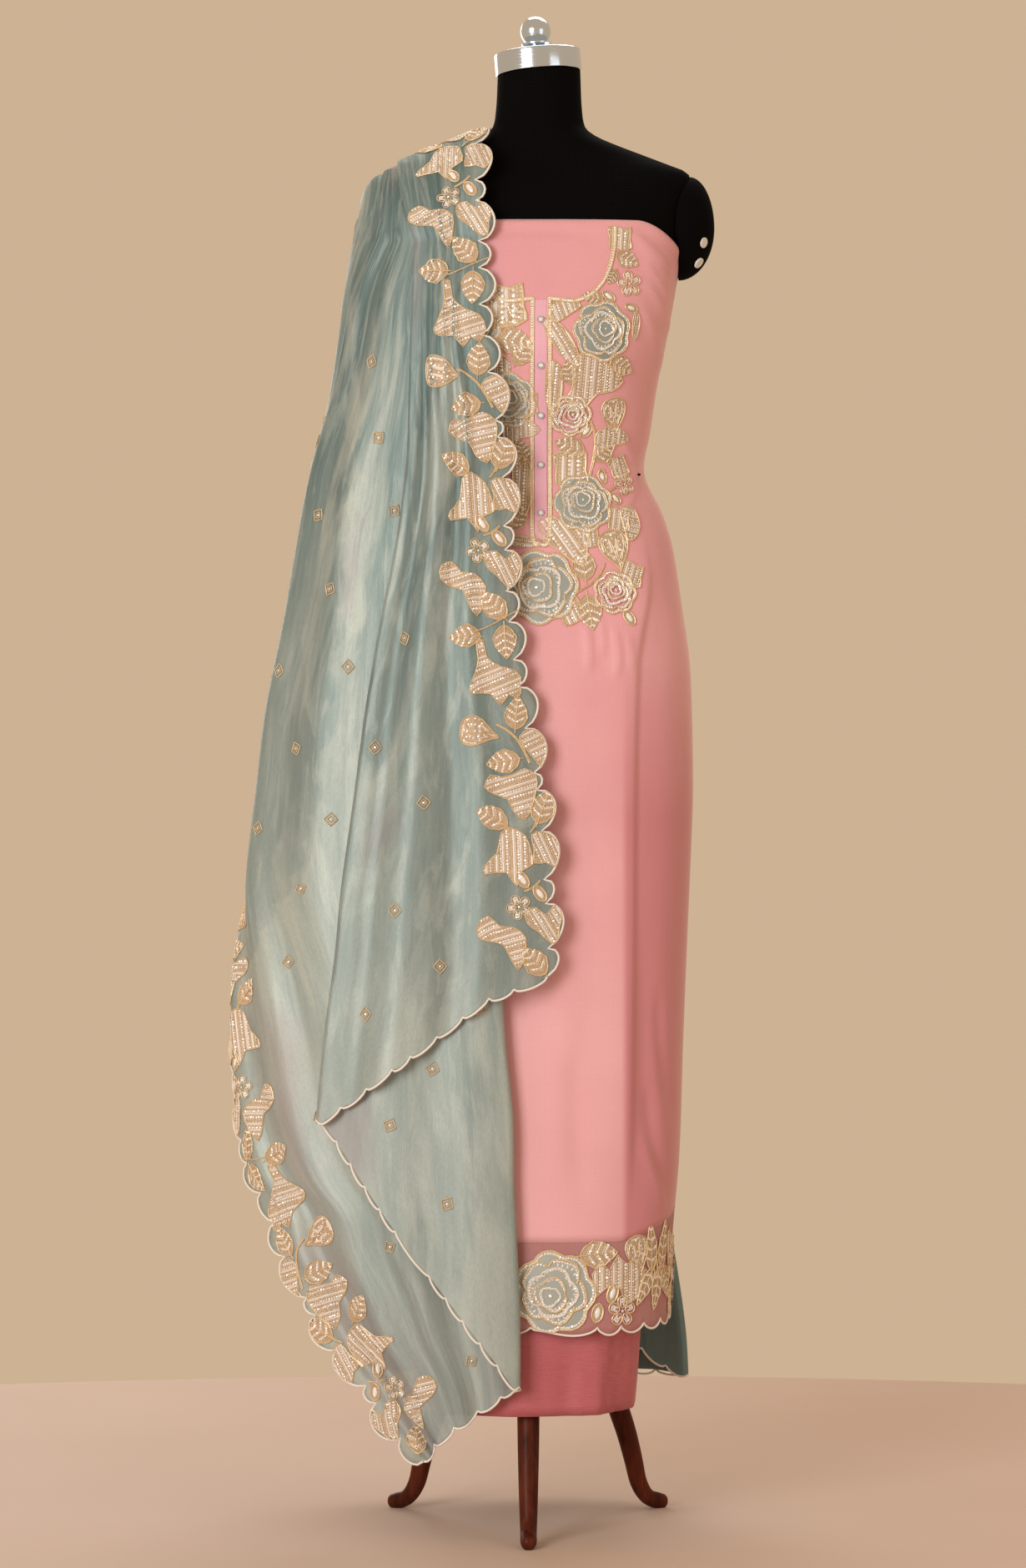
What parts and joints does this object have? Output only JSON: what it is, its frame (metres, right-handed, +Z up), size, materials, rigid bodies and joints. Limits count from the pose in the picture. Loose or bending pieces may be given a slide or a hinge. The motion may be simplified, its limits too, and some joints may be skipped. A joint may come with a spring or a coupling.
{
  "type": "salwar kameez suit on a dress form with a tripod stand",
  "caption": "Strapless-wrapped kameez, bottom cloth and dupatta draped on a limbless dress form that stands on a tripod base.",
  "frame": {"origin": "under the middle of the whole outline, on the floor", "axes": "+Z up, -Y out of the front of the kameez, +X to the viewer's right, so the dupatta hangs on the -X side"},
  "size_m": [0.5495, 0.3762, 1.7131],
  "materials": {
    "form_cloth": "black cloth cover, matt",
    "chrome": "polished",
    "stud_white": "smooth",
    "wood": "polished mahogany",
    "kameez_pink": "soft silk blend, low sheen",
    "band_organza": "sheer organza",
    "placket_pink": "satin",
    "crystal": "cut, clear",
    "rose_organza": "organza petals",
    "salwar_rose": "silk blend, low sheen",
    "dupatta_organza": "tissue organza with a soft metallic sheen"
  },
  "bodies": {
    "root": {"form_torso": "form_cloth", "form_cap_left": "form_cloth", "form_cap_right": "form_cloth", "form_cap_stud_1": "stud_white", "form_cap_stud_2": "stud_white", "form_neck_cap": "chrome", "form_finial": "chrome", "stand_pole": "wood", "stand_hub": "wood", "stand_leg_front": "wood", "stand_leg_right": "wood", "stand_leg_left": "wood", "kameez_front": "kameez_pink", "kameez_back": "kameez_pink", "kameez_hem_front": "band_organza", "kameez_hem_back": "band_organza", "kameez_placket": "placket_pink", "kameez_button_1": "crystal", "kameez_button_2": "crystal", "kameez_button_3": "crystal", "kameez_button_4": "crystal", "kameez_button_5": "crystal", "kameez_rose_1": "rose_organza", "kameez_rose_2": "rose_organza", "kameez_rose_3": "rose_organza", "kameez_rose_4": "rose_organza", "kameez_rose_5": "rose_organza", "salwar": "salwar_rose", "dupatta_front": "dupatta_organza", "dupatta_shoulder": "dupatta_organza", "dupatta_back": "dupatta_organza", "dupatta_edge_near_front": "dupatta_organza", "dupatta_edge_far_front": "dupatta_organza", "dupatta_edge_near_back": "dupatta_organza", "dupatta_edge_far_back": "dupatta_organza", "dupatta_hem_front": "dupatta_organza", "dupatta_hem_back": "dupatta_organza"}
  },
  "joints": []
}
